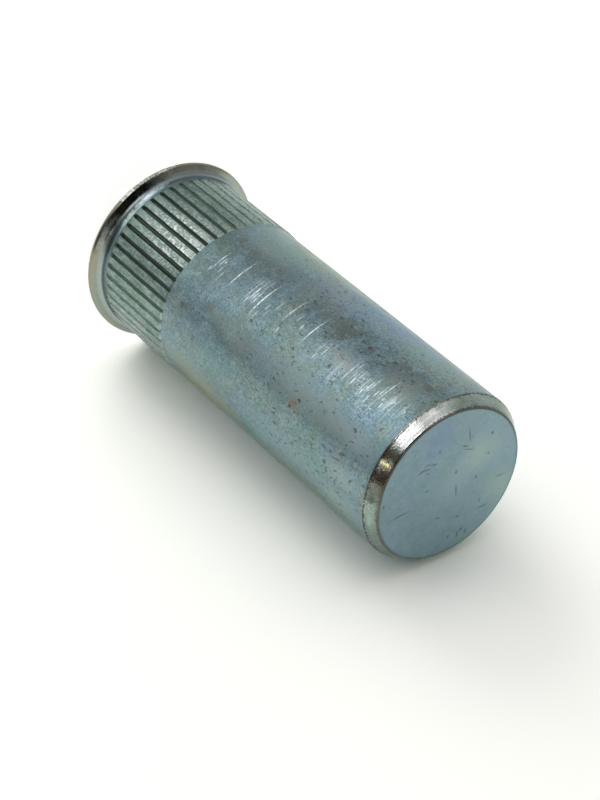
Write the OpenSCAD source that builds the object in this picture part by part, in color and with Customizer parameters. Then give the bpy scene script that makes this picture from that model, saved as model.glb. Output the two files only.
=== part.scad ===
// Closed end rivet nut. One cold-formed steel piece: a thin head, a straight knurl under it,
// a thin wall that folds when the nut is set, and a blind end that holds the thread.
// The face of the head lies on Z = 0 and the closed end points up. Sizes are in millimetres.

/* [Shank] */
// Diameter of the plain shank, a little under the hole in the sheet
shank_d = 11; // [10.8:0.05:11.2]
// Length over all, from the face of the head to the closed end
overall_l = 29.2; // [27:0.1:40]
// Diameter of the flat face on the closed end
end_face_d = 10; // [9:0.1:10.6]
// Length of the chamfer round the closed end, along the axis
end_chamfer_l = 0.82; // [0.3:0.02:1.6]

/* [Head] */
// Diameter over the rim of the head
head_d = 12.4; // [12:0.1:15]
// Radius of the rounded rim
rim_r = 0.22; // [0.1:0.01:0.3]
// Slope of the underside of the head, up from level
underside_angle = 27; // [10:1:40]
// Radius of the hollow blend from the underside into the neck
neck_blend_r = 0.6; // [0.2:0.05:0.8]
// Length of the plain neck between the blend and the knurl
neck_l = 0.15; // [0.05:0.05:2]

/* [Knurl] */
// Number of grooves round the shank
groove_count = 48; // [36:1:56]
// Length of the knurled band
knurl_l = 6.4; // [3:0.1:9]
// Height of the ribs above the plain shank
rib_h = 0.075; // [0.03:0.005:0.15]
// Length over which the ribs fall to the shank at each end of the band
rib_fall_l = 0.12; // [0.05:0.01:0.3]
// Width of a groove between two ribs
groove_w = 0.28; // [0.2:0.01:0.34]
// Width of the floor of a groove
groove_floor_w = 0.12; // [0.04:0.01:0.18]
// Depth of a groove below the top of the ribs
groove_depth = 0.22; // [0.12:0.01:0.4]
// Length by which the grooves run on past the ribs into the plain shank
groove_run_on_l = 0.06; // [0.02:0.01:0.5]

/* [Hole] */
// Diameter of the plain hole inside the thin wall
entry_d = 9; // [8.4:0.1:9.6]
// Width of the chamfer at the mouth of the hole
mouth_chamfer = 0.3; // [0.1:0.05:0.6]
// Size of the screw that the nut takes
thread_d = 8; // [7:0.5:8]
// Pitch of the thread
thread_pitch = 1.25; // [0.75:0.25:1.25]
// Length of the threaded hole
thread_l = 12; // [8:0.5:14]
// Slope of the step that leads into the thread, from the axis
lead_in_angle = 60; // [40:1:75]
// Angle of the tip that the drill leaves at the bottom
drill_tip_angle = 118; // [90:1:140]
// Thickness of the closed end under the drill tip
end_wall_t = 2.2; // [1.5:0.1:4]

/* [Hidden] */
round_fn = 120;
groove_end_fn = 24;
past = 1;

shank_r = shank_d / 2;
entry_r = entry_d / 2;
rib_top_r = shank_r + rib_h;

// The rim is a full circle and the underside is the line that leaves it at a tangent
rim_centre_r = head_d / 2 - rim_r;
rim_tangent = [rim_centre_r + rim_r * sin(underside_angle), rim_r + rim_r * cos(underside_angle)];
corner_z = rim_tangent[1] + (rim_tangent[0] - shank_r) * tan(underside_angle);

// The blend touches the underside and the neck, and never takes more than the underside has
underside_l = (rim_tangent[0] - shank_r) / cos(underside_angle);
blend_reach = tan(45 - underside_angle / 2);
blend_r = min(neck_blend_r, 0.9 * underside_l / blend_reach);
blend_l = blend_r * blend_reach;
blend_foot = [shank_r + blend_l * cos(underside_angle), corner_z - blend_l * sin(underside_angle)];
blend_centre = [shank_r + blend_r, corner_z + blend_l];

knurl_z = corner_z + blend_l + neck_l;
knurl_top_z = knurl_z + knurl_l;

// The minor radius of a metric thread: the wall that is left before the thread is cut
thread_minor_r = (thread_d - 1.0825 * thread_pitch) / 2;
thread_bottom_z = overall_l - end_wall_t - thread_minor_r / tan(drill_tip_angle / 2);
thread_mouth_z = thread_bottom_z - thread_l;
entry_bottom_z = thread_mouth_z - (entry_r - thread_minor_r) / tan(lead_in_angle);

// Half of the outer outline, from the face of the head up to the closed end
module outer_outline() {
    difference() {
        union() {
            polygon([
                [0, 0],
                [rim_centre_r, 0],
                rim_tangent,
                blend_foot,
                blend_centre,
                [shank_r, blend_centre[1]],
                [shank_r, knurl_z],
                [rib_top_r, knurl_z + rib_fall_l],
                [rib_top_r, knurl_top_z - rib_fall_l],
                [shank_r, knurl_top_z],
                [shank_r, overall_l - end_chamfer_l],
                [end_face_d / 2, overall_l],
                [0, overall_l]
            ]);
            translate([rim_centre_r, rim_r]) circle(r = rim_r, $fn = round_fn);
        }
        translate(blend_centre) circle(r = blend_r, $fn = round_fn);
    }
}

// The stepped blind hole: mouth, plain hole, step, thread hole and drill tip
module hole() {
    rotate_extrude($fn = round_fn)
        polygon([
            [0, -past],
            [entry_r + mouth_chamfer + past, -past],
            [entry_r, mouth_chamfer],
            [entry_r, entry_bottom_z],
            [thread_minor_r, thread_mouth_z],
            [thread_minor_r, thread_bottom_z],
            [0, overall_l - end_wall_t]
        ]);
}

// What cuts one groove: sloped sides, open at the top of the band, with a round end at the neck
module groove_cutter() {
    floor_r = rib_top_r - groove_depth;
    side_slope = (groove_w - groove_floor_w) / 2 / groove_depth;
    outer_half_w = groove_w / 2 + past * side_slope;
    end_z = knurl_z + rib_fall_l + groove_w / 2;
    translate([0, 0, end_z])
        linear_extrude(height = knurl_top_z + groove_run_on_l - end_z)
            polygon([
                [floor_r, -groove_floor_w / 2],
                [rib_top_r + past, -outer_half_w],
                [rib_top_r + past, outer_half_w],
                [floor_r, groove_floor_w / 2]
            ]);
    translate([floor_r, 0, end_z])
        rotate([0, 90, 0])
            cylinder(h = groove_depth + past, r1 = groove_floor_w / 2, r2 = outer_half_w, $fn = groove_end_fn);
}

module rivet_nut() {
    color("#7f9195")
        difference() {
            rotate_extrude($fn = round_fn) outer_outline();
            hole();
            for (i = [0 : groove_count - 1])
                rotate([0, 0, i * 360 / groove_count]) groove_cutter();
        }
}

rivet_nut();
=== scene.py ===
import bpy
import bmesh
import math
from mathutils import Matrix, Vector


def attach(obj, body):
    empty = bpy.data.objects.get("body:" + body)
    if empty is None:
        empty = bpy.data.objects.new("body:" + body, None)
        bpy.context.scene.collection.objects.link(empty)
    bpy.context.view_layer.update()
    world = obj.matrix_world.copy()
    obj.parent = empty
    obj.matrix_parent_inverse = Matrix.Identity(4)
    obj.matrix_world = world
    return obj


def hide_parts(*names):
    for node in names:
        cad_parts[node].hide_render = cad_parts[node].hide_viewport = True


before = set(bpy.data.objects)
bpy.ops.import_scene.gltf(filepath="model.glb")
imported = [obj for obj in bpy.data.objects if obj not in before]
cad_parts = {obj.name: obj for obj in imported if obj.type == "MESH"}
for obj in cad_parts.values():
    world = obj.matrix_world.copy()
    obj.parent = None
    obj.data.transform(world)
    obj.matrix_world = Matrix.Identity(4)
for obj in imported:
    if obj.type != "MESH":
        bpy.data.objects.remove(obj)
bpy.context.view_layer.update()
scene = bpy.context.scene
mm = 0.001
zAxis = Vector((0, 0, 1))
grooveCount = 48


# Camera, at the angle of the photograph: the nut lies on its side there, so the camera is rolled

cameraSettings = {
    "lens": 103.45,
    "place": (3.716, -104.644, 105.961),  # mm
    "imageRight": (-0.66229, 0.47915, 0.57600),
    "imageUp": (-0.74912, -0.43711, -0.49774),
}


def addCamera(settings):
    data = bpy.data.cameras.new("camera")
    data.lens = settings["lens"]
    data.sensor_width = 36
    data.clip_start = 0.001
    data.clip_end = 10
    camera = bpy.data.objects.new("camera", data)
    scene.collection.objects.link(camera)
    right = Vector(settings["imageRight"]).normalized()
    up = Vector(settings["imageUp"])
    up = (up - right * up.dot(right)).normalized()
    turn = Matrix((right, up, right.cross(up))).transposed().to_4x4()
    camera.matrix_world = Matrix.Translation(Vector(settings["place"]) * mm) @ turn
    scene.camera = camera
    return camera


addCamera(cameraSettings)
scene.view_settings.view_transform = "Standard"
print("camera set")


# Node helpers

def hexColour(text):  # sRGB hex to linear
    def toLinear(value):
        return value / 12.92 if value <= 0.04045 else ((value + 0.055) / 1.055) ** 2.4
    text = text.lstrip("#")
    return tuple(toLinear(int(text[i:i + 2], 16) / 255) for i in (0, 2, 4)) + (1.0,)


def addNode(tree, kind, inputs=None, out=0, **settings):  # adds a node, sets it, links or fills its inputs
    node = tree.nodes.new("ShaderNode" + kind)
    for name, value in settings.items():
        setattr(node, name, value)
    for key, value in (inputs or {}).items():
        if isinstance(value, bpy.types.NodeSocket):
            tree.links.new(value, node.inputs[key])
        else:
            node.inputs[key].default_value = value
    return node.outputs[out] if node.outputs else node


def newMaterial(name):
    material = bpy.data.materials.new(name)
    material.use_nodes = True
    material.node_tree.nodes.clear()
    return material, material.node_tree


# Materials of the nut.
# Steel, cold formed and turned, with zinc electroplate and a blue clear passivate: a satin blue-grey metal
# with green and straw tints where the passivate is thicker, pin-head pits, and bright rubbed scratches.
# Highlights, glints and shade are painted into the colour in places as well.

plateSettings = {
    "blue": "#768f97",
    "green": "#6f8a7e",
    "straw": "#868872",
    "light": "#a3b9bd",
    "dark": "#536567",
    "pit": "#34413f",
    # colour of the rubbed marks, painted bright as their glints and sheen
    "scratchesAndGlint": "#e8f8ff",
    "edge": "#f0f0f0",  # the plating mirrors less at a grazing angle than bare metal does
    "greenShare": 0.6,
    "strawShare": 0.4,
    "roughness": 0.34,
    "cloudSize": 4.2,  # mm, the tints
    "mottleSize": 0.75,  # mm
    "mottle": 0.4,
    "grainSize": 0.14,  # mm, the grain of the plating
    "grain": 0.58,
    "pitSize": 0.2,  # mm
    "patchSize": 1.5,  # mm, small blue and straw patches on the wall
    "patch": 0.35,
    "patchBlue": "#7a97b2",
    "lines": (0.12, 0.12, 11),  # per mm: fine along the axis and long round it, as the turning tool leaves them
    "bump": 0.25,
    "zeroAngle": 1.0,  # degrees, where the angles of the marks below start
}
# What each zone of the surface changes
zoneSettings = {
    "shank": {},  # drawn and turned wall
    "knurl": {  # hammered by the wheel
        "blue": "#788f88", "green": "#6f8a78", "light": "#bccdc9", "dark": "#4b5b57", "grain": 0.6, "grainSize": 0.17,
        "mottle": 0.35, "roughness": 0.32, "bump": 0.8, "cloudSize": 2.2, "lines": (9, 9, 0.7),
    },
    "neck": {  # pressed smooth
        "blue": "#7c9196", "green": "#788d84", "dark": "#5a6b70", "roughness": 0.26, "grain": 0.15, "bump": 0.12,
    },
    "head": {  # pressed and rubbed, the brightest of the formed parts
        "blue": "#98a5a3", "green": "#969e86", "straw": "#a0986f", "light": "#b4bbb3", "dark": "#757a6e",
        "roughness": 0.18, "grain": 0.12, "mottle": 0.2, "bump": 0.08, "cloudSize": 2.6,
    },
    "chamfer": {  # cut with a sharp tool, so it is bright
        "blue": "#9db1a9", "green": "#90aa98", "straw": "#9c9d89", "light": "#d6dfda", "dark": "#65716b",
        "roughness": 0.17, "grain": 0.4, "bump": 0.4,
    },
    "end": {  # cropped and matt
        "blue": "#89a3ae", "green": "#839e9b", "straw": "#97a697", "light": "#9bb3bb", "dark": "#6e858d",
        "roughness": 0.45, "grain": 0.2, "cloudSize": 3.6, "bump": 0.2, "strawShare": 0.25,
    },
    "bore": {"dark": "#59686a", "roughness": 0.3},
}

# Where wear, dirt and painted light and shade lie: z is mm up the axis, r is mm from it, and angles are degrees
wearAndPaintedLight = {
    "neckShadeRing": (0.89, 0.17, 0.06),  # z of a dark blue ring of painted shade in the hollow, its half width outside and inside
    "neckBand": (0.88, 0.76),  # z, where a paler band towards the rim starts and is full
    "rimDull": (6.08, 6.17),  # r
    "rimHighlight": (6.09, 6.16),  # r, painted highlight specks on the part of the rim in front
    "rimFront": (-112.0, 20.0),  # middle and half angle of that part
    "pitStretch": (1, 1, 0.6),  # below 1 draws the pits out along the axis
    "pitRise": (9.0, 19.0),  # z, where the pits are few and where they are many
    "pitShare": (-0.05, 0.01),  # what that adds to their noise
    "pitCluster": 0.12,  # how much they gather in patches
    "pitLevel": (0.685, 0.755, 0.65),  # noise level where a pit starts and is full, and its strength
    "scratchHalf": 0.068,  # mm, half height of a scratch
    "scratchFade": (0.42, 1.0),  # share of its half size at full strength and where it ends
    "scratchBreaks": 4.6,  # per mm
    "rubFade": (0.3, 1.1),  # the same for a patch of rubbing
    "knurlGlintBelt": (-100, 5.4, 21, 3.4),  # where glints are painted on the crests: centre and half size
    "grooveShadeSide": (0.66, 0.95),  # share of the radius towards the front or back, where the painted shade in the grooves starts and is full
    "grooveDeep": (5.525, 5.41),  # r, from the ribs down to the floor of a groove
    "ribEndHighlight": (7.5, 7.55),  # z, where the ribs end at the wall, painted pale there as a highlight
    "chamferLow": (28.54, 28.44),  # z of the brown line at the foot of the chamfer
    "chamferHigh": (29.05, 29.14),  # z of the one at its top
    "chamferRagged": 0.1,  # mm, how far both wander
    "endEdge": (4.84, 4.93),  # r, the dark edge of the end
    "endDarkSide": (-0.47, -0.88, 0),  # direction in which it is darkest
    "endDarkRise": (0.0, 2.6),  # mm towards that side
    "nickFade": (1.3, 0.4),  # share of a nick's half size where it starts and where it is full
}

# Rubbed scratches round the shank, painted bright as their glints: start and end angle in degrees, height in mm,
# strength
scratchGlints = [
    (-94.5, -114.5, 9.36, 0.85), (-100.0, -109.0, 9.62, 0.6), (-104.0, -107.5, 9.78, 0.8),
    (-92.5, -119.5, 11.34, 1.0), (-94.5, -114.0, 13.00, 0.7), (-95.0, -113.5, 13.32, 0.9),
    (-95.5, -105.5, 13.50, 0.9), (-94.0, -108.0, 13.72, 0.7), (-86.0, -122.0, 14.13, 1.0),
    (-97.0, -104.0, 14.83, 0.4), (-99.0, -113.5, 15.41, 0.45), (-97.5, -122.0, 16.38, 0.8),
    (-102.0, -107.0, 17.80, 0.6), (-94.0, -120.0, 18.60, 1.0), (-93.0, -113.5, 22.77, 0.7),
    (-95.5, -103.5, 23.44, 0.9), (-96.0, -111.5, 23.60, 0.5), (-94.0, -103.5, 24.40, 0.7),
    (-97.0, -110.5, 24.56, 0.7), (-98.0, -114.0, 24.74, 0.8), (-99.0, -106.0, 25.28, 0.6),
    (-99.0, -119.5, 25.68, 0.95), (-93.0, -99.0, 9.22, 0.6), (-96.0, -103.0, 9.95, 0.5),
    (-92.0, -101.0, 10.30, 0.4), (-101.0, -115.0, 12.74, 0.5), (-91.0, -100.0, 13.16, 0.6),
    (-108.0, -118.0, 13.58, 0.5), (-88.0, -95.0, 14.50, 0.5), (-93.0, -101.0, 15.08, 0.5),
    (-90.0, -97.0, 16.62, 0.5), (-104.0, -113.0, 17.20, 0.35), (-92.0, -99.0, 20.05, 0.4),
    (-97.0, -107.0, 20.40, 0.5), (-103.0, -113.0, 23.02, 0.6), (-99.0, -108.0, 24.16, 0.6),
    (-92.0, -100.0, 25.02, 0.6), (-100.0, -112.0, 25.48, 0.7), (-95.0, -104.0, 26.10, 0.6),
    (-99.0, -109.0, 26.55, 0.7),
]
# Patches of fine rubbing, painted bright as a sheen: angle, half angle, height, half height, strength
rubSheen = [
    (-106, 13, 13.3, 0.9, 0.22), (-104, 6, 9.7, 0.4, 0.3), (-102, 9, 24.0, 1.2, 0.6),
    (-103, 9, 20.2, 0.7, 0.35), (-103, 9, 26.5, 1.1, 0.6), (-96, 10, 22.0, 0.6, 0.3), (-106, 6, 27.6, 0.5, 0.5),
    (-94, 11, 25.4, 1.4, 0.25),
]
# Stains and tints, and patches of painted highlight and shade: centre and half size (degrees and mm round the wall, mm
# and mm on the end), colour, strength
stainsAndPaintedLight = {
    # the wall: tints and stains of the passivate, with paler patches that paint highlights towards the front and the
    # closed end, and darker ones that paint shade, as in the band near -120 degrees
    "shank": [
        (-125.4, 8.8, 3.5, 0.35, "#6e5257", 0.5), (-123.0, 10.4, 6, 0.7, "#6e6d52", 0.5),
        (-121.0, 12.6, 18, 2.0, "#6f7874", 0.4), (-122.0, 19.6, 14, 2.2, "#63655b", 0.5),
        (-119.0, 25.4, 13, 2.0, "#5d6763", 0.5), (-121.0, 22.3, 4, 0.4, "#6e5354", 0.45),
        (-71.0, 15.2, 12, 1.3, "#6d665b", 0.35), (-75.0, 12.6, 9, 1.5, "#72796a", 0.35),
        (-73.0, 26.0, 9, 2.6, "#a3b8ba", 0.6), (-105.0, 22.0, 8, 2.0, "#b3b4ac", 0.35),
        (-100.0, 11.5, 12, 4.5, "#66797c", 0.35), (-126.0, 16.5, 9, 3.5, "#97a8ae", 0.3),
        (-73.0, 13.8, 9, 3.0, "#9fb2b3", 0.35), (-65.0, 20.8, 5, 0.5, "#8c6c46", 0.65),
        (-61.5, 21.4, 2, 0.2, "#866a48", 0.6), (-62.3, 20.6, 1.6, 0.14, "#3b3a36", 0.8),
        (-40.2, 16.0, 2.4, 0.2, "#83695b", 0.5), (-65.8, 9.5, 2.2, 0.3, "#80664a", 0.6),
        (-67.4, 9.1, 2.0, 0.25, "#4f5648", 0.6), (-76.5, 11.2, 5, 0.6, "#6b7058", 0.45),
        (-69.5, 11.6, 2.0, 1.3, "#465250", 0.35), (-66.0, 13.2, 7, 0.9, "#536468", 0.3),
        (-19.0, 16.7, 9, 0.9, "#3d8378", 0.75), (-26.0, 18.4, 8, 1.6, "#6aa6a0", 0.5),
        (-172.0, 26.2, 10, 2.6, "#a6bab2", 0.5), (-20.0, 12.4, 10, 2.4, "#a5a67a", 0.65),
        (-22.0, 15.2, 9, 0.9, "#7f9a78", 0.5), (-14.0, 22.0, 9, 5.0, "#8b9f87", 0.5),
        (-9.0, 11.4, 13, 4.0, "#8f905c", 0.7), (-138.0, 17.5, 10, 3.0, "#8397b4", 0.4),
        (-8.0, 18.0, 13, 2.6, "#5a958f", 0.65), (2.0, 18.0, 9, 14.0, "#5c6f63", 0.55),
        (-8.0, 25.0, 13, 5.0, "#8ba48f", 0.55), (-160.0, 17.8, 15, 2.4, "#52758c", 0.6),
        (-157.0, 21.5, 11, 6.5, "#668bb2", 0.55), (-33.0, 22.5, 14, 7.0, "#92b4bb", 0.45),
        (-64.0, 25.0, 16, 1.6, "#6f7a82", 0.3), (-96.0, 9.6, 14, 2.0, "#62767a", 0.3),
        (-58.0, 11.5, 14, 5.0, "#5b7584", 0.4), (-27.0, 10.5, 12, 3.4, "#a3aa93", 0.4),
        (-27.0, 26.2, 12, 2.6, "#a5bab2", 0.5), (-132.0, 10.5, 9, 3.2, "#9ab0b4", 0.4),
        (-48.0, 26.2, 9, 2.4, "#a3b6bb", 0.4), (-44.6, 24.9, 2.0, 0.15, "#3c4b4c", 0.8),
        (-74.8, 23.3, 1.8, 0.15, "#44544f", 0.7), (-125.3, 27.1, 4, 0.4, "#664f50", 0.5),
        (-167.0, 15.0, 14, 6.0, "#7fa68b", 0.6), (-113.0, 26.2, 14, 2.2, "#a8b7b2", 0.45),
        (-92.0, 19.5, 12, 2.0, "#8b9986", 0.3), (-74.0, 21.5, 10, 6.0, "#a5b5b4", 0.5),
        (-152.0, 16.2, 14, 2.4, "#80989f", 0.3), (-173.0, 10.8, 12, 3.2, "#8f9a70", 0.6),
        (-95.5, 16.5, 9, 11.0, "#5c7074", 0.2), (-49.0, 11.5, 9, 4.0, "#60777c", 0.22),
        (-176.0, 18.0, 6, 5.0, "#5f7484", 0.4), (-148.0, 10.8, 14, 3.6, "#84a594", 0.5),
        (-150.0, 24.5, 14, 3.2, "#8aa596", 0.35), (-45.0, 12.5, 9, 3.0, "#7a9a90", 0.35),
        (-120.5, 17.2, 9, 0.9, "#64747c", 0.4),
    ],
    # the ribs: paler patches and painted glints in front, and a darker patch towards one side
    "knurl": [
        (-105.0, 5.2, 20, 3.0, "#b9cac6", 0.2), (-103.0, 2.0, 18, 0.9, "#a9bdb9", 0.3),
        (-54.0, 4.5, 16, 5.0, "#62756f", 0.35), (-108.0, 6.8, 9, 0.6, "#f4faf0", 0.32),
        (-95.0, 7.1, 8, 0.4, "#f4faf0", 0.4), (-122.0, 7.2, 6, 0.35, "#eef6ea", 0.25),
    ],
    # the neck: painted highlights in front, and a near-black painted reflection of shade below them
    "neck": [
        (-107.0, 0.94, 15, 0.22, "#d4e6f2", 0.95), (-91.0, 1.14, 16, 0.22, "#bcd8cc", 0.95),
        (-93.0, 0.55, 32, 0.2, "#24231e", 0.95),
    ],
    # the head: straw and tan tints, and a dark painted reflection of shade on the underside in front
    "head": [
        (-135.0, 0.4, 22, 0.5, "#8b866c", 0.6), (-52.0, 0.4, 16, 0.5, "#9a8f72", 0.55),
        (-20.0, 0.4, 30, 0.5, "#98a193", 0.5), (-94.0, 0.42, 34, 0.34, "#292620", 0.75),
    ],
    # the chamfer: a painted white highlight in front, paler and darker painted reflections along it, a patch brown in
    # tint and painted dark as shade with a painted gold glint in it, a dark smudge, and grey and mint tints
    "chamfer": [
        (-51.0, 28.8, 11, 3.0, "#6f7870", 0.7), (-64.5, 28.8, 13.5, 3.0, "#5b4d3c", 1.0),
        (-79.5, 28.8, 5, 1.2, "#958558", 0.8), (-72.5, 28.8, 4, 0.8, "#8f7848", 0.5),
        (-73.5, 28.76, 1.7, 0.34, "#ffee9a", 1.0), (-176.0, 28.8, 22, 3.0, "#778b80", 0.85),
        (-140.0, 28.8, 20, 3.0, "#bcd0c6", 0.8), (-124.0, 28.8, 9, 3.0, "#eafaf2", 0.8),
        (-106.0, 28.8, 22, 3.0, "#f8fbf6", 0.9), (-91.0, 28.8, 6.5, 3.0, "#ffffff", 1.0),
        (-117.0, 28.85, 6, 0.8, "#ffffff", 0.8), (-48.0, 28.8, 3, 0.3, "#3f4a46", 0.8),
        (-20.0, 28.8, 28, 3.0, "#76857d", 0.7), (-32.0, 28.78, 8, 0.34, "#a4c0b3", 0.6),
    ],
    "end": [
        (-2.5, 0.2, 1.7, 1.4, "#abbdb1", 0.5), (-1.7, -3.4, 1.8, 1.3, "#7a90ab", 0.5),
        (1.8, 4.3, 0.8, 0.45, "#84aa98", 0.6), (-0.3, 0.2, 1.6, 1.3, "#9bb0b6", 0.5),
        (-2.0, 3.7, 1.3, 1.5, "#a3b7a8", 0.5), (3.8, -3.2, 1.3, 1.6, "#869d94", 0.3),
        (-3.4, -2.4, 1.2, 1.6, "#8a9fa8", 0.4),
    ],
}
# Short dark nicks on the end: start, end, half width, in mm
nicks = [
    ((-2.99, -1.88), (-2.62, -1.22), 0.06), ((-1.98, -1.15), (-2.42, -0.43), 0.04),
    ((-3.82, -0.16), (-3.80, -0.10), 0.1), ((0.75, -2.68), (0.35, -2.58), 0.08),
    ((0.42, -2.50), (0.10, -2.28), 0.06), ((0.20, -2.75), (-0.12, -2.52), 0.05),
    ((-0.05, -2.40), (-0.35, -2.12), 0.06), ((0.50, -2.20), (0.28, -2.02), 0.04),
    ((3.75, -1.84), (2.66, -1.15), 0.055), ((-0.23, 0.59), (0.16, 1.16), 0.06),
    ((-0.80, -0.27), (-0.76, -0.22), 0.09), ((-1.40, 1.41), (-1.36, 1.45), 0.09),
    ((-0.99, -2.67), (-0.95, -2.62), 0.08), ((0.95, 2.64), (1.05, 2.60), 0.08),
    ((1.34, 3.72), (1.44, 3.70), 0.1), ((3.41, -3.15), (3.45, -3.10), 0.08),
    ((-0.20, 3.64), (-0.66, 3.97), 0.06), ((-2.18, 2.88), (-2.61, 3.25), 0.05),
    ((1.91, 1.21), (1.75, 1.5), 0.05), ((1.27, -1.19), (1.05, -1.0), 0.05),
    ((-2.86, 0.81), (-2.80, 0.86), 0.07), ((1.6, 3.6), (1.9, 3.9), 0.06),
    ((-2.10, -1.35), (-2.30, -1.05), 0.07), ((1.20, 4.05), (1.42, 4.22), 0.07),
    ((2.10, 3.20), (2.34, 3.30), 0.06), ((-0.60, 3.05), (-0.48, 3.32), 0.05),
]


def ovalAt(tree, flat, left, low, halfLeft, halfLow):  # 0 in the middle of an oval, 1 on its edge
    scaled = addNode(tree, "VectorMath", {0: flat, 1: (1 / halfLeft, 1 / halfLow, 0),
                                          2: (-left / halfLeft, -low / halfLow, 0)}, operation="MULTIPLY_ADD")
    return addNode(tree, "VectorMath", {0: scaled}, out="Value", operation="LENGTH")


def placeOnNut(tree, settings, zone):  # where a point of the surface is, and noises of several sizes there
    place = addNode(tree, "TexCoord", out="Object")
    inMm = addNode(tree, "VectorMath", {0: place, "Scale": 1 / mm}, operation="SCALE")
    x, y, z = addNode(tree, "SeparateXYZ", {0: inMm}).node.outputs
    side = addNode(tree, "VectorMath", {0: inMm, 1: (1, 1, 0)}, operation="MULTIPLY")
    radius = addNode(tree, "VectorMath", {0: side}, out="Value", operation="LENGTH")
    toFront = addNode(tree, "Math", {0: y, 1: -1.0}, operation="MULTIPLY")
    angle = addNode(tree, "Math", {0: x, 1: toFront}, operation="ARCTAN2")  # jumps at the back, where no mark is
    degrees = addNode(tree, "Math", {0: angle}, operation="DEGREES")
    degrees = addNode(tree, "Math", {0: degrees, 1: 90 + settings["zeroAngle"]}, operation="SUBTRACT")
    # Marks on the end are placed in mm across it, and marks on the wall in degrees round it and mm along it
    onFace = inMm if zone == "end" else addNode(tree, "CombineXYZ", {0: degrees, 1: z})
    flat = addNode(tree, "VectorMath", {0: onFace, 1: (1, 1, 0)}, operation="MULTIPLY")

    shifted = addNode(tree, "VectorMath", {0: inMm, 1: (17, 5, 31)}, operation="ADD")
    stretched = addNode(tree, "VectorMath", {0: inMm, 1: settings["lines"]}, operation="MULTIPLY")
    return {
        "mm": inMm, "y": y, "z": z, "radius": radius, "angle": angle, "degrees": degrees,
        "flat": flat, "shifted": shifted,
        "cloud": addNode(tree, "TexNoise", {"Vector": inMm, "Scale": 1 / settings["cloudSize"], "Detail": 2.0}),
        "cloudTwo": addNode(tree, "TexNoise", {"Vector": shifted, "Scale": 0.77 / settings["cloudSize"],
                                               "Detail": 3.0}),
        "mottle": addNode(tree, "TexNoise", {"Vector": inMm, "Scale": 1 / settings["mottleSize"], "Detail": 4.0,
                                             "Roughness": 0.6}),
        "grain": addNode(tree, "TexNoise", {"Vector": inMm, "Scale": 1 / settings["grainSize"], "Detail": 2.0,
                                            "Roughness": 0.6}),
        "lines": addNode(tree, "TexNoise", {"Vector": stretched, "Scale": 1.0, "Detail": 2.0, "Roughness": 0.6}),
    }


# A layer of colour is: value, where it starts, where it is full, strength, colour

def baseLayers(tree, at, settings, zone):  # tints of the passivate, mottle and grain, and the stains
    layers = [
        (at["cloud"], 0.4, 0.7, settings["greenShare"], settings["green"]),
        (at["cloudTwo"], 0.55, 0.75, settings["strawShare"], settings["straw"]),
    ]
    if zone == "shank":
        patch = addNode(tree, "TexNoise", {"Vector": at["shifted"], "Scale": 1 / settings["patchSize"], "Detail": 3.0})
        layers += [(patch, 0.5, 0.68, settings["patch"], settings["straw"]),
                   (patch, 0.48, 0.32, settings["patch"], settings["patchBlue"])]
    layers += [
        (at["mottle"], 0.5, 0.75, settings["mottle"], settings["light"]),
        (at["mottle"], 0.5, 0.25, settings["mottle"], settings["dark"]),
        (at["grain"], 0.5, 0.75, settings["grain"], settings["light"]),
        (at["grain"], 0.5, 0.28, settings["grain"], settings["dark"]),
    ]
    if zone == "neck":
        # a paler band towards the rim, and a ring of painted shade in the hollow
        middle, outside, inside = wearAndPaintedLight["neckShadeRing"]
        shadeRing = addNode(tree, "Math", {0: at["z"], 1: middle}, operation="SUBTRACT")
        shadeRing = addNode(tree, "Math", {0: shadeRing}, operation="ABSOLUTE")
        layers += [(at["z"], *wearAndPaintedLight["neckBand"], 0.9, "#a0aba5"), (shadeRing, outside, inside, 0.85, "#3f4d57")]
    wobble = addNode(tree, "Math", {0: at["grain"], 1: 0.6, 2: at["mottle"]}, operation="MULTIPLY_ADD")
    wobble = addNode(tree, "MapRange", {0: wobble, 1: 0.5, 2: 1.1, 3: -0.5, 4: 0.5})  # gives the stains and painted patches of light and shade uneven edges
    for left, low, halfLeft, halfLow, tint, strength in stainsAndPaintedLight.get(zone, []):
        away = ovalAt(tree, at["flat"], left, low, halfLeft, halfLow)
        layers.append((addNode(tree, "Math", {0: away, 1: wobble}, operation="ADD"), 1.1, 0.2, strength, tint))
    return layers


def headLayers(tree, at):  # the edge of the rim is dull, with painted highlight specks in front
    low, high = wearAndPaintedLight["rimHighlight"]
    middle, half = wearAndPaintedLight["rimFront"]
    edge = addNode(tree, "MapRange", {0: at["radius"], 1: low, 2: high})
    front = addNode(tree, "Math", {0: at["degrees"], 1: middle, 2: half}, operation="COMPARE")
    specks = addNode(tree, "MapRange", {0: at["grain"], 1: 0.44, 2: 0.56})
    edge = addNode(tree, "Math", {0: edge, 1: front}, operation="MULTIPLY")
    edge = addNode(tree, "Math", {0: edge, 1: specks}, operation="MULTIPLY")
    return [(at["radius"], *wearAndPaintedLight["rimDull"], 0.75, "#8d8874"), (edge, 0.0, 1.0, 0.9, "#e2e4dc")]


def pitLayer(tree, at, settings):  # drawn out along the axis, in patches, and more towards the closed end
    low, high = wearAndPaintedLight["pitRise"]
    few, many = wearAndPaintedLight["pitShare"]
    long = addNode(tree, "VectorMath", {0: at["shifted"], 1: wearAndPaintedLight["pitStretch"]}, operation="MULTIPLY")
    pitted = addNode(tree, "TexNoise", {"Vector": long, "Scale": 1 / settings["pitSize"], "Detail": 2.0,
                                        "Roughness": 0.5, "Distortion": 0.6})
    more = addNode(tree, "MapRange", {0: at["z"], 1: low, 2: high, 3: few, 4: many})
    more = addNode(tree, "Math", {0: at["cloudTwo"], 1: wearAndPaintedLight["pitCluster"], 2: more}, operation="MULTIPLY_ADD")
    pits = addNode(tree, "Math", {0: pitted, 1: more}, operation="ADD")
    return (pits, *wearAndPaintedLight["pitLevel"], settings["pit"])


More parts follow.
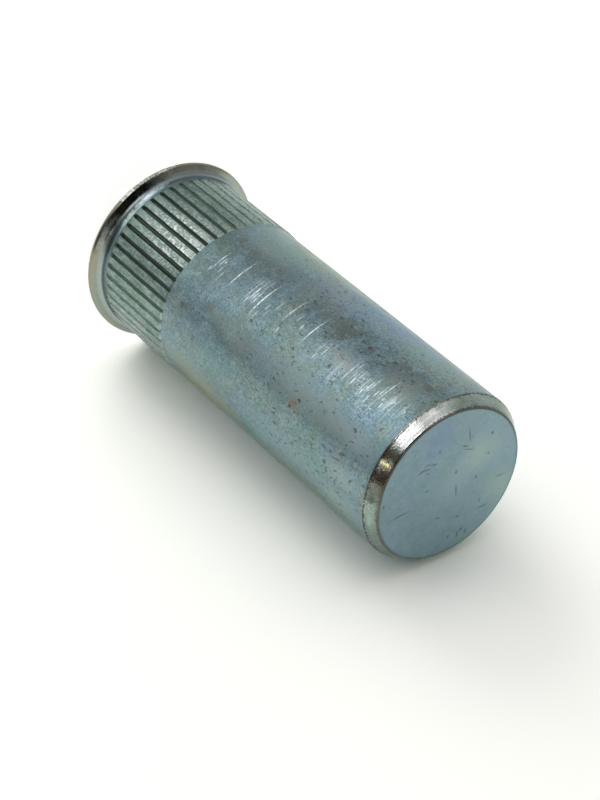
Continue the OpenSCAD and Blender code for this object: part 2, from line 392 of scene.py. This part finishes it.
def rubbedMarksAndSheen(tree, at):  # scratches, broken along their length, and patches of finer ones on the turning lines, painted bright as glints and sheen
    broken = addNode(tree, "TexNoise", {"Vector": at["mm"], "Scale": wearAndPaintedLight["scratchBreaks"], "Detail": 2.0,
                                        "Roughness": 0.6})
    broken = addNode(tree, "MapRange", {0: broken, 1: 0.42, 2: 0.56, 3: 0.3})
    fine = addNode(tree, "MapRange", {0: at["lines"], 1: 0.52, 2: 0.66})
    sparks = addNode(tree, "MapRange", {0: at["grain"], 1: 0.56, 2: 0.66})
    fine = addNode(tree, "Math", {0: fine, 1: sparks}, operation="MAXIMUM")
    marks = [((a + b) / 2, h, abs(b - a) / 2, wearAndPaintedLight["scratchHalf"], *wearAndPaintedLight["scratchFade"], strength, broken)
             for a, b, h, strength in scratchGlints]
    marks += [(a, h, halfA, halfH, *wearAndPaintedLight["rubFade"], strength, fine) for a, halfA, h, halfH, strength in rubSheen]
    scratchesAndGlint = None
    for left, low, halfLeft, halfLow, inner, outer, strength, texture in marks:
        away = ovalAt(tree, at["flat"], left, low, halfLeft, halfLow)
        near = addNode(tree, "MapRange", {0: away, 1: outer, 2: inner, 4: strength})
        near = addNode(tree, "Math", {0: near, 1: texture}, operation="MULTIPLY")
        scratchesAndGlint = near if scratchesAndGlint is None else addNode(tree, "Math", {0: scratchesAndGlint, 1: near}, operation="MAXIMUM")
    return scratchesAndGlint


def knurlLayers(tree, at, settings, depth):  # painted glints as bright specks on the crests in front, painted shade in the grooves towards the front, and pale paint in them elsewhere
    specks = addNode(tree, "MapRange", {0: at["grain"], 1: 0.5, 2: 0.59})
    glintBelt = ovalAt(tree, at["flat"], *wearAndPaintedLight["knurlGlintBelt"])
    glintBelt = addNode(tree, "MapRange", {0: glintBelt, 1: 1.1, 2: 0.4})
    across = addNode(tree, "Math", {0: at["angle"], 1: grooveCount / math.tau}, operation="MULTIPLY")
    across = addNode(tree, "Math", {0: across}, operation="FRACT")
    across = addNode(tree, "MapRange", {0: across, 1: 0.3, 2: 0.75, 3: 0.35, 4: 1.0})  # the painted glints are stronger on one edge of a rib
    glintBelt = addNode(tree, "Math", {0: glintBelt, 1: across}, operation="MULTIPLY")
    front = addNode(tree, "Math", {0: at["y"], 1: at["radius"]}, operation="DIVIDE")
    front = addNode(tree, "Math", {0: front}, operation="ABSOLUTE")
    low, high = wearAndPaintedLight["grooveShadeSide"]
    front = addNode(tree, "MapRange", {0: front, 1: low, 2: high, 3: 0.0, 4: 1.0})  # the painted shade in the grooves is fainter towards both sides
    return [
        (glintBelt, 0.0, 1.0, 0.35, "#cfdfd2"),
        (addNode(tree, "Math", {0: specks, 1: glintBelt}, operation="MULTIPLY"), 0.0, 1.0, 1.0, "#ffffff"),
        (at["lines"], 0.5, 0.7, 0.3, settings["light"]), (at["lines"], 0.5, 0.3, 0.3, settings["dark"]),
        # pale paint that offsets the shade of the grooves, then painted shade in them towards the front
        (depth, 0.0, 1.0, 0.85, "#cfded8"),
        (addNode(tree, "Math", {0: depth, 1: front}, operation="MULTIPLY"), 0.0, 1.0, 0.95, "#45564e"),
        (at["z"], *wearAndPaintedLight["ribEndHighlight"], 0.6, "#a9bcb8"),  # a painted highlight where the ribs fall off to the wall
    ]


def chamferLayers(tree, at, settings):  # turning lines, and uneven brown lines along both edges
    stray = wearAndPaintedLight["chamferRagged"]
    ragged = addNode(tree, "MapRange", {0: at["grain"], 1: 0.3, 2: 0.7, 3: -stray, 4: stray})
    ragged = addNode(tree, "Math", {0: at["z"], 1: ragged}, operation="ADD")
    return [
        (at["lines"], 0.4, 0.65, 0.34, settings["dark"]), (ragged, *wearAndPaintedLight["chamferLow"], 0.8, "#4a4038"),
        (ragged, *wearAndPaintedLight["chamferHigh"], 0.7, "#53493d"), (at["mottle"], 0.53, 0.66, 0.3, "#6d675a"),
    ]


def endLayers(tree, at, settings):  # its edge is dark, most of all on one side, and it has specks and nicks
    upper = addNode(tree, "VectorMath", {0: at["mm"], 1: wearAndPaintedLight["endDarkSide"]}, out="Value", operation="DOT_PRODUCT")
    low, high = wearAndPaintedLight["endDarkRise"]
    upper = addNode(tree, "MapRange", {0: upper, 1: low, 2: high, 3: 0.4, 4: 1.0})
    low, high = wearAndPaintedLight["endEdge"]
    edge = addNode(tree, "MapRange", {0: at["radius"], 1: low, 2: high})
    specks = addNode(tree, "TexNoise", {"Vector": at["shifted"], "Scale": 1 / settings["pitSize"], "Detail": 2.0})
    layers = [
        (addNode(tree, "Math", {0: edge, 1: upper}, operation="MULTIPLY"), 0.0, 1.0, 0.85, "#3f3830"),
        (specks, 0.66, 0.74, 0.35, settings["pit"]),
    ]
    for start, stop, half in nicks:
        along = Vector(stop) - Vector(start)
        middle = (Vector(start) + Vector(stop)) / 2
        moved = addNode(tree, "VectorMath", {0: at["flat"], 1: (*middle, 0)}, operation="SUBTRACT")
        turned = addNode(tree, "VectorRotate", {"Vector": moved, "Angle": -math.atan2(along.y, along.x)},
                         rotation_type="Z_AXIS")
        away = ovalAt(tree, turned, 0, 0, along.length / 2 + half, half)
        layers.append((away, *wearAndPaintedLight["nickFade"], 0.6, "#3e4f54"))
    return layers


def plateMaterial(name, settings, zone):
    material, tree = newMaterial(name)
    at = placeOnNut(tree, settings, zone)
    layers = baseLayers(tree, at, settings, zone)
    rough = addNode(tree, "MapRange", {0: at["mottle"], 1: 0.3, 2: 0.7, 3: settings["roughness"] - 0.04,
                                       4: settings["roughness"] + 0.06})
    height = at["grain"]
    if zone == "shank":
        # scratches and rubbed patches, painted bright as their glints and sheen
        scratchesAndGlint = rubbedMarksAndSheen(tree, at)
        layers += [pitLayer(tree, at, settings), (scratchesAndGlint, 0.0, 1.0, 1.0, settings["scratchesAndGlint"])]
        rough = addNode(tree, "Math", {0: scratchesAndGlint, 1: -0.08, 2: rough}, operation="MULTIPLY_ADD")
        height = addNode(tree, "Math", {0: at["lines"], 1: 0.25, 2: height}, operation="MULTIPLY_ADD")
    elif zone == "knurl":
        low, high = wearAndPaintedLight["grooveDeep"]
        depth = addNode(tree, "MapRange", {0: at["radius"], 1: low, 2: high})  # 0 on the ribs, 1 down in a groove
        layers += knurlLayers(tree, at, settings, depth)
        rough = addNode(tree, "Math", {0: depth, 1: 0.3, 2: rough}, operation="MULTIPLY_ADD")
    elif zone == "head":
        layers += headLayers(tree, at)
    elif zone == "chamfer":
        layers += chamferLayers(tree, at, settings)
        height = addNode(tree, "Math", {0: at["lines"], 1: 1.6, 2: height}, operation="MULTIPLY_ADD")
    elif zone == "end":
        layers += endLayers(tree, at, settings)

    colour = hexColour(settings["blue"])
    for value, low, high, strength, tint in layers:
        part = addNode(tree, "MapRange", {0: value, 1: low, 2: high, 4: strength})
        colour = addNode(tree, "Mix", {0: part, 6: colour, 7: hexColour(tint)}, out=2, data_type="RGBA")
    bump = addNode(tree, "Bump", {"Strength": settings["bump"], "Distance": 0.02 * mm, "Height": height})
    shader = addNode(tree, "BsdfPrincipled", {"Base Color": colour, "Roughness": rough, "Metallic": 1.0,
                                              "Specular Tint": hexColour(settings["edge"]), "Normal": bump})
    addNode(tree, "OutputMaterial", {0: shader})
    return material


zones = list(zoneSettings)
materials = [plateMaterial("zinc_plate_" + zone, {**plateSettings, **zoneSettings[zone]}, zone) for zone in zones]
print("materials made")


# The nut: one sector of the outside, spun round in 48, and the thread inside

nutSettings = {
    "grooves": grooveCount,
    "shankRadius": 5.5,
    "ribRadius": 5.575,
    "endRadius": 5.0,
    "length": 29.2,
    "chamferFoot": 28.38,
    "rimCentre": (5.974, 0.22),
    "rimRadius": 0.22,
    "rimTurn": 153,  # degrees, round to the slope of the underside
    "rimSteps": 12,
    "blendCentre": (6.1, 1.0792),
    "blendFoot": (5.8276, 0.5446),
    "blendTurn": 63,
    "blendSteps": 8,
    "knurl": (1.2292, 7.6292),
    "ribFall": 0.12,
    "grooveHalf": 0.14,
    "grooveFloorHalf": 0.06,
    "grooveFloorRadius": 5.355,
    "grooveEnd": 7.6292,
    "groovePole": 1.4892,
    "underside": ((6.04, 0.434), (5.86, 0.528)),  # two rows between the rim and the blend
    "mouth": (4.8, 0.3),
    "faceRing": 5.4,  # a row on the face of the head
    "entryRadius": 4.5,
    "entryEnd": 12.324,
    "threadRadius": 3.3234,
    "threadRoot": 4.0,
    "threadStart": 13.003,
    "threadEnd": 24.2,
    "drillEnd": 25.003,
    "tip": 27.0,
    "pitch": 1.25,
    "turnSteps": 96,
    # Rows that keep the faces short: heights in the hole, the knurl and the wall, radii on the end
    "holeRows": (8.0, 4.0, 1.0),
    "knurlRows": (2.6, 4.2, 5.8, 7.1),
    "wallRows": (7.75, 9.0, 12.0, 16.0, 20.0, 24.0, 27.6),
    "endRows": (3.6, 2.2, 0.9, 0.0),
    "edgeRow": 0.16,  # distance of the nearest row to a bevelled edge
    "bevel": 0.06,
    "bevelSteps": 3,
    "besideGroove": 0.6,  # degrees
    "grooveTip": ((0.87, 0.5), (0.5, 0.87)),  # rows of its round end: how far from the pole, how wide
    "tipWidth": 0.1,  # how wide the very tip stays
    "threadStep": 0.05,  # mm, from the cut ends of the thread on to plain circles
    "cut": 0.0001,  # mm, closer than this to a cut counts as on it
    "merge": {"sector": 0.0002, "whole": 0.0005, "thread": 0.002},  # mm
    "level": 0.01,  # mm, heights that close count as one
    "sharpAngle": 22,  # degrees
}


def wireTo(mesh, vertex, r, z):  # a straight piece of outline
    made = bmesh.ops.extrude_vert_indiv(mesh, verts=[vertex])["verts"][0]
    made.co = (r * mm, 0, z * mm)
    return made


def wireArc(mesh, vertex, centre, degrees, steps):  # an arc of outline
    made = bmesh.ops.spin(mesh, geom=[vertex], cent=(centre[0] * mm, 0, centre[1] * mm), axis=(0, 1, 0),
                          angle=math.radians(-degrees), steps=steps)["geom_last"]
    return [v for v in made if isinstance(v, bmesh.types.BMVert)][0]


def makeSector(s):
    mesh = bmesh.new()
    point = mesh.verts.new((s["entryRadius"] * mm, 0, s["entryEnd"] * mm))
    for z in s["holeRows"]:
        point = wireTo(mesh, point, s["entryRadius"], z)
    point = wireTo(mesh, point, s["entryRadius"], s["mouth"][1])
    point = wireTo(mesh, point, s["mouth"][0], 0)
    point = wireTo(mesh, point, s["faceRing"], 0)
    point = wireTo(mesh, point, s["rimCentre"][0], 0)
    point = wireArc(mesh, point, s["rimCentre"], s["rimTurn"], s["rimSteps"])
    for r, z in (*s["underside"], s["blendFoot"]):
        point = wireTo(mesh, point, r, z)
    point = wireArc(mesh, point, s["blendCentre"], -s["blendTurn"], s["blendSteps"])
    low, high = s["knurl"]
    point = wireTo(mesh, point, s["shankRadius"], low)
    pole, half, near = s["groovePole"], s["grooveHalf"], s["edgeRow"]
    tipRows = [(pole - back * half, width) for back, width in s["grooveTip"]]
    for z in (low + s["ribFall"], *[z for z, width in tipRows], pole, *s["knurlRows"], high - s["ribFall"]):
        point = wireTo(mesh, point, s["ribRadius"], z)
    for z in (high, *s["wallRows"], s["chamferFoot"] - near):
        point = wireTo(mesh, point, s["shankRadius"], z)
    shankEdge = wireTo(mesh, point, s["shankRadius"], s["chamferFoot"])
    point = shankEdge
    for share in (near, 1 - near):
        point = wireTo(mesh, point, s["shankRadius"] + share * (s["endRadius"] - s["shankRadius"]),
                       s["chamferFoot"] + share * (s["length"] - s["chamferFoot"]))
    endEdge = wireTo(mesh, point, s["endRadius"], s["length"])
    point = wireTo(mesh, endEdge, s["endRadius"] - near, s["length"])
    for r in s["endRows"]:
        point = wireTo(mesh, point, r, s["length"])
    bmesh.ops.bevel(mesh, geom=[shankEdge, endEdge], offset=s["bevel"] * mm, offset_type="OFFSET",
                    segments=s["bevelSteps"], profile=0.5, affect="VERTICES", material=-1, clamp_overlap=True)
    # The outline goes round the sector in steps that fall on the edges of the groove
    edge = math.degrees(math.asin(half / s["ribRadius"]))
    beside = s["besideGroove"]
    sector = 360 / s["grooves"]
    rib = sector / 2 - edge - beside
    back = Matrix.Rotation(-math.radians(sector / 2), 3, "Z")
    bmesh.ops.rotate(mesh, verts=mesh.verts[:], cent=(0, 0, 0), matrix=back)
    last = mesh.verts[:] + mesh.edges[:]
    for turn, steps in ((rib, 2), (beside, 1), (2 * edge, 4), (beside, 1), (rib, 2)):
        last = bmesh.ops.spin(mesh, geom=last, cent=(0, 0, 0), axis=zAxis, angle=math.radians(turn),
                              steps=steps)["geom_last"]
    bmesh.ops.remove_doubles(mesh, verts=mesh.verts[:], dist=s["merge"]["sector"] * mm)

    # The groove: its mouth gets a round end, then goes in and narrows to the floor
    tip = low + s["ribFall"]
    outside = s["endRadius"]  # what is farther out than this is wall
    for z, width in ((tip, s["tipWidth"]), *tipRows):
        row = [v for v in mesh.verts if abs(v.co.z / mm - z) < 0.003 and abs(v.co.y / mm) < half * 1.02
               and v.co.x > outside * mm]
        bmesh.ops.scale(mesh, vec=(1, width, 1), verts=row)
    mouth = []
    for face in mesh.faces:
        middle = face.calc_center_median() / mm
        if tip < middle.z < s["grooveEnd"] and abs(middle.y) < half * 0.95 and middle.x > outside:
            mouth.append(face)
    made = bmesh.ops.extrude_face_region(mesh, geom=mouth)["geom"]
    bmesh.ops.delete(mesh, geom=mouth, context="FACES")
    floor = [v for v in made if isinstance(v, bmesh.types.BMVert)]
    narrow = s["grooveFloorHalf"] / half
    toFloor = Matrix.Translation((-s["grooveFloorRadius"] * mm, 0, 0))
    bmesh.ops.scale(mesh, vec=(0, narrow, 1), verts=floor, space=toFloor)
    rounded = [v for v in floor if v.co.z < pole * mm]
    bmesh.ops.scale(mesh, vec=(1, 1, narrow), verts=rounded, space=Matrix.Translation((0, 0, -pole * mm)))
    return mesh


def closeRound(mesh, rim, r, z):  # carries an open edge on to a plain circle
    made = bmesh.ops.extrude_edge_only(mesh, edges=rim)["geom"]
    for v in made:
        if isinstance(v, bmesh.types.BMVert):
            flat = Vector((v.co.x, v.co.y, 0)).normalized() * r * mm
            v.co = (flat.x, flat.y, z * mm)
    return [e for e in made if isinstance(e, bmesh.types.BMEdge)]


def openEdges(mesh, test):  # edges of the rim that still need a neighbour
    return [e for e in mesh.edges if e.is_boundary and all(test(v.co / mm) for v in e.verts)]


def addThread(nut, s):  # one turn is spun up, then stacked, cut to length and carried on to the drill hole
    mesh = bmesh.new()
    pitch, steps = s["pitch"], s["turnSteps"]
    turns = math.ceil((s["threadEnd"] - s["threadStart"]) / pitch) + 2
    start = s["threadStart"] - pitch
    flank = (s["threadRoot"] - s["threadRadius"]) * math.tan(math.radians(30))
    crest = pitch / 4
    point = mesh.verts.new((s["threadRadius"] * mm, 0, start * mm))
    for r, z in ((s["threadRadius"], crest), (s["threadRoot"], crest + flank),
                 (s["threadRoot"], pitch - flank), (s["threadRadius"], pitch)):
        point = wireTo(mesh, point, r, start + z)
    bmesh.ops.spin(mesh, geom=mesh.verts[:] + mesh.edges[:], cent=(0, 0, 0), axis=zAxis,
                   dvec=(0, 0, pitch / steps * mm), angle=math.tau, steps=steps)
    bmesh.ops.spin(mesh, geom=mesh.verts[:] + mesh.edges[:] + mesh.faces[:], cent=(0, 0, 0), axis=zAxis,
                   dvec=(0, 0, pitch * mm), angle=0, steps=turns, use_duplicate=True)
    bmesh.ops.remove_doubles(mesh, verts=mesh.verts[:], dist=s["merge"]["thread"] * mm)
    for z, side in ((s["threadStart"], -1), (s["threadEnd"], 1)):
        bmesh.ops.bisect_plane(mesh, geom=mesh.verts[:] + mesh.edges[:] + mesh.faces[:], dist=s["cut"] * mm,
                               plane_co=(0, 0, z * mm), plane_no=(0, 0, side), clear_outer=True)
    bmesh.ops.remove_doubles(mesh, verts=mesh.verts[:], dist=s["merge"]["thread"] * mm)
    lowRim = openEdges(mesh, lambda p: abs(p.z - s["threadStart"]) < s["level"])
    highRim = openEdges(mesh, lambda p: abs(p.z - s["threadEnd"]) < s["level"])
    closeRound(mesh, lowRim, s["threadRoot"], s["threadStart"] - s["threadStep"])
    highRim = closeRound(mesh, highRim, s["threadRadius"], s["threadEnd"] + s["threadStep"])
    highRim = closeRound(mesh, highRim, s["threadRadius"], s["drillEnd"])
    made = bmesh.ops.extrude_edge_only(mesh, edges=highRim)["geom"]
    tip = [v for v in made if isinstance(v, bmesh.types.BMVert)]
    bmesh.ops.pointmerge(mesh, verts=tip, merge_co=(0, 0, s["tip"] * mm))
    data = bpy.data.meshes.new("thread")
    mesh.to_mesh(data)
    mesh.free()
    nut.from_mesh(data)
    bpy.data.meshes.remove(data)
    return openEdges(nut, lambda p: abs(p.z - s["threadStart"] + s["threadStep"]) < s["level"])


def zoneOf(face, s):
    middle = face.calc_center_median() / mm
    r, z = middle.xy.length, middle.z
    if z > s["length"] - 0.03 and r < s["endRadius"] - 0.02:
        return "end"
    if r < s["entryRadius"] + 0.05:
        return "bore"
    if z > s["chamferFoot"] + 0.01:
        return "chamfer"
    if z < s["blendFoot"][1]:
        return "head"
    if z < s["knurl"][0]:
        return "neck"
    return "knurl" if z < s["knurl"][1] else "shank"


def makeNut(s):
    mesh = makeSector(s)
    whole = mesh.verts[:] + mesh.edges[:] + mesh.faces[:]
    sector = math.tau / s["grooves"]
    bmesh.ops.spin(mesh, geom=whole, cent=(0, 0, 0), axis=zAxis, angle=sector * (s["grooves"] - 1),
                   steps=s["grooves"] - 1, use_duplicate=True)
    bmesh.ops.remove_doubles(mesh, verts=mesh.verts[:], dist=s["merge"]["whole"] * mm)
    entryRim = openEdges(mesh, lambda p: abs(p.z - s["entryEnd"]) < s["level"])
    threadRim = addThread(mesh, s)
    bmesh.ops.bridge_loops(mesh, edges=entryRim + threadRim)
    bmesh.ops.dissolve_degenerate(mesh, edges=mesh.edges[:], dist=s["cut"] * mm)
    bmesh.ops.recalc_face_normals(mesh, faces=mesh.faces[:])
    for face in mesh.faces:
        face.smooth = True
        face.material_index = zones.index(zoneOf(face, s))
    openCount = sum(1 for e in mesh.edges if not e.is_manifold)
    print("nut mesh: %d faces, %d open edges" % (len(mesh.faces), openCount))
    data = bpy.data.meshes.new("rivet_nut_body")
    mesh.to_mesh(data)
    mesh.free()
    data.set_sharp_from_angle(angle=math.radians(s["sharpAngle"]))
    for material in materials:
        data.materials.append(material)
    nut = bpy.data.objects.new("rivet_nut_body", data)
    scene.collection.objects.link(nut)
    return nut


nut = makeNut(nutSettings)
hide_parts("rivet_nut")
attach(nut, "root")
print("nut made")


# Stage: the floor that the nut stands on, and the white table of the photograph as a backdrop beside it

stageSettings = {
    "floorSize": 900,  # mm
    "tableNormal": (-0.600, -0.800, -0.026),
    "tableReach": 6.24,  # mm from the axis, so that it clears the rim of the head and the far end of the wall
    "tableSize": 700,
    "colour": "#e5e5e0",
    "tableGain": 1.95,  # how much paler the camera sees a sheet than its own colour
    "floorGain": 2.3,
    "metalGain": 1.85,  # and how much paler the metal sees it
    "floorGlow": 0.62,  # what the camera sees the floor give off
}


def stageMaterial(name, settings, gain, glow, oneSided):
    material, tree = newMaterial(name)
    path = addNode(tree, "LightPath").node.outputs
    mirrored = addNode(tree, "Math", {0: path["Is Glossy Ray"], 1: path["Is Transmission Ray"]}, operation="ADD",
                       use_clamp=True)
    seen = addNode(tree, "Math", {0: path["Is Camera Ray"], 1: mirrored}, operation="ADD", use_clamp=True)
    paler = addNode(tree, "Math", {0: path["Is Camera Ray"], 1: gain - 1, 2: 1.0}, operation="MULTIPLY_ADD")
    paler = addNode(tree, "Math", {0: mirrored, 1: settings["metalGain"] - 1, 2: paler}, operation="MULTIPLY_ADD")
    colour = addNode(tree, "VectorMath", {0: hexColour(settings["colour"])[:3], "Scale": paler}, operation="SCALE")
    shader = addNode(tree, "BsdfDiffuse", {"Color": colour})
    if glow:
        level = addNode(tree, "Math", {0: seen, 1: glow}, operation="MULTIPLY")
        light = addNode(tree, "Emission", {"Color": (1, 1, 1, 1), "Strength": level})
        shader = addNode(tree, "AddShader", {0: shader, 1: light})
    if oneSided:
        clear = addNode(tree, "BsdfTransparent")
        side = addNode(tree, "NewGeometry", out="Backfacing")
        shader = addNode(tree, "MixShader", {0: side, 1: shader, 2: clear})
    addNode(tree, "OutputMaterial", {0: shader})
    return material


def addSheet(name, size, place, normal, material):
    mesh = bmesh.new()
    bmesh.ops.create_grid(mesh, x_segments=1, y_segments=1, size=size / 2 * mm)
    turn = Vector(normal).to_track_quat("Z", "Y").to_matrix().to_4x4()
    bmesh.ops.transform(mesh, matrix=Matrix.Translation(Vector(place) * mm) @ turn, verts=mesh.verts[:])
    data = bpy.data.meshes.new(name)
    mesh.to_mesh(data)
    mesh.free()
    data.materials.append(material)
    sheet = bpy.data.objects.new(name, data)
    scene.collection.objects.link(sheet)
    return sheet


floorLook = stageMaterial("pale_floor", stageSettings, stageSettings["floorGain"], stageSettings["floorGlow"], False)
tableLook = stageMaterial("white_table", stageSettings, stageSettings["tableGain"], 0.0, True)
floor = addSheet("floor", stageSettings["floorSize"], (0, 0, 0), (0, 0, 1), floorLook)
floor.visible_glossy = False  # it would hide the room that the wall of the nut mirrors in the photograph
floor.visible_shadow = False
floor.visible_diffuse = False
tableUp = Vector(stageSettings["tableNormal"]).normalized()
table = addSheet("backdrop", stageSettings["tableSize"], -tableUp * stageSettings["tableReach"], tableUp, tableLook)
table.visible_shadow = False
table.visible_diffuse = False
print("stage set")


# Light: a pale room that is dark overhead, a bright softbox in front and a dimmer one under it for the metal,
# and a broad one behind the head that gives the shadow its depth

lightSettings = {
    "room": 0.95,
    # Darker parts of the room: direction, angle inside and outside, level
    "darkParts": [
        ((0.0, -0.33, 0.94), 22, 42, 0.03), ((0.58, -0.69, 0.42), 22, 48, 0.12),
        ((0.35, -0.60, 0.72), 32, 76, 0.15), ((0.80, -0.60, 0.0), 24, 54, 0.25), ((-0.75, 0.1, 0.65), 26, 56, 0.35),
        ((-0.70, -0.31, -0.64), 8, 30, 0.55), ((0.57, -0.51, -0.64), 8, 26, 0.62),
    ],
    "softboxes": {
        "key": {"angle": -100, "distance": 80, "z": 48, "aim": 16, "size": (46, 30), "level": 2.3, "lights": "metal"},
        "strip": {"angle": -95, "distance": 62, "z": -9, "aim": 10, "size": (44, 40), "level": 0.6, "lights": "metal"},
        "glint": {"angle": -58, "distance": 60, "z": 52, "aim": 28.8, "size": (7, 7), "level": 5.0, "lights": "metal"},
        "back": {"angle": -140, "distance": 75, "z": -104, "aim": 5, "size": (90, 90), "level": 2.6, "lights": "table"},
    },
}


def addSoftbox(name, s):
    data = bpy.data.lights.new(name, "AREA")
    data.shape = "RECTANGLE"
    data.size = s["size"][0] * mm
    data.size_y = s["size"][1] * mm
    data.energy = s["level"] * math.pi * data.size * data.size_y
    turn = math.radians(s["angle"])
    place = Vector((math.cos(turn) * s["distance"], math.sin(turn) * s["distance"], s["z"])) * mm
    aim = Vector((0, 0, s["aim"])) * mm
    light = bpy.data.objects.new(name, data)
    light.matrix_world = Matrix.Translation(place) @ (aim - place).to_track_quat("-Z", "Y").to_matrix().to_4x4()
    light.visible_camera = False
    light.visible_diffuse = s["lights"] == "table"
    light.visible_glossy = s["lights"] == "metal"
    scene.collection.objects.link(light)
    return light


def addRoom(settings):
    world = bpy.data.worlds.new("room")
    scene.world = world
    world.use_nodes = True
    tree = world.node_tree
    tree.nodes.clear()
    direction = addNode(tree, "TexCoord", out="Generated")
    level = settings["room"]
    for axis, inner, outer, dark in settings["darkParts"]:
        near = addNode(tree, "VectorMath", {0: direction, 1: Vector(axis).normalized()}, out="Value",
                       operation="DOT_PRODUCT")
        edge, core = math.cos(math.radians(outer)), math.cos(math.radians(inner))
        part = addNode(tree, "MapRange", {0: near, 1: edge, 2: core, 3: settings["room"], 4: dark},
                       interpolation_type="SMOOTHSTEP")
        level = addNode(tree, "Math", {0: level, 1: part}, operation="MINIMUM")
    path = addNode(tree, "LightPath").node.outputs
    clear = addNode(tree, "Math", {0: path["Is Camera Ray"], 1: path["Is Transmission Ray"]}, operation="ADD",
                    use_clamp=True)
    plain = addNode(tree, "Background", {"Color": (1, 1, 1, 1), "Strength": level})
    white = addNode(tree, "Background", {"Color": (1, 1, 1, 1), "Strength": 1.0})
    mixed = addNode(tree, "MixShader", {0: clear, 1: plain, 2: white})
    addNode(tree, "OutputWorld", {0: mixed})


addRoom(lightSettings)
for boxName, box in lightSettings["softboxes"].items():
    addSoftbox("softbox_" + boxName, box)
print("lights set")
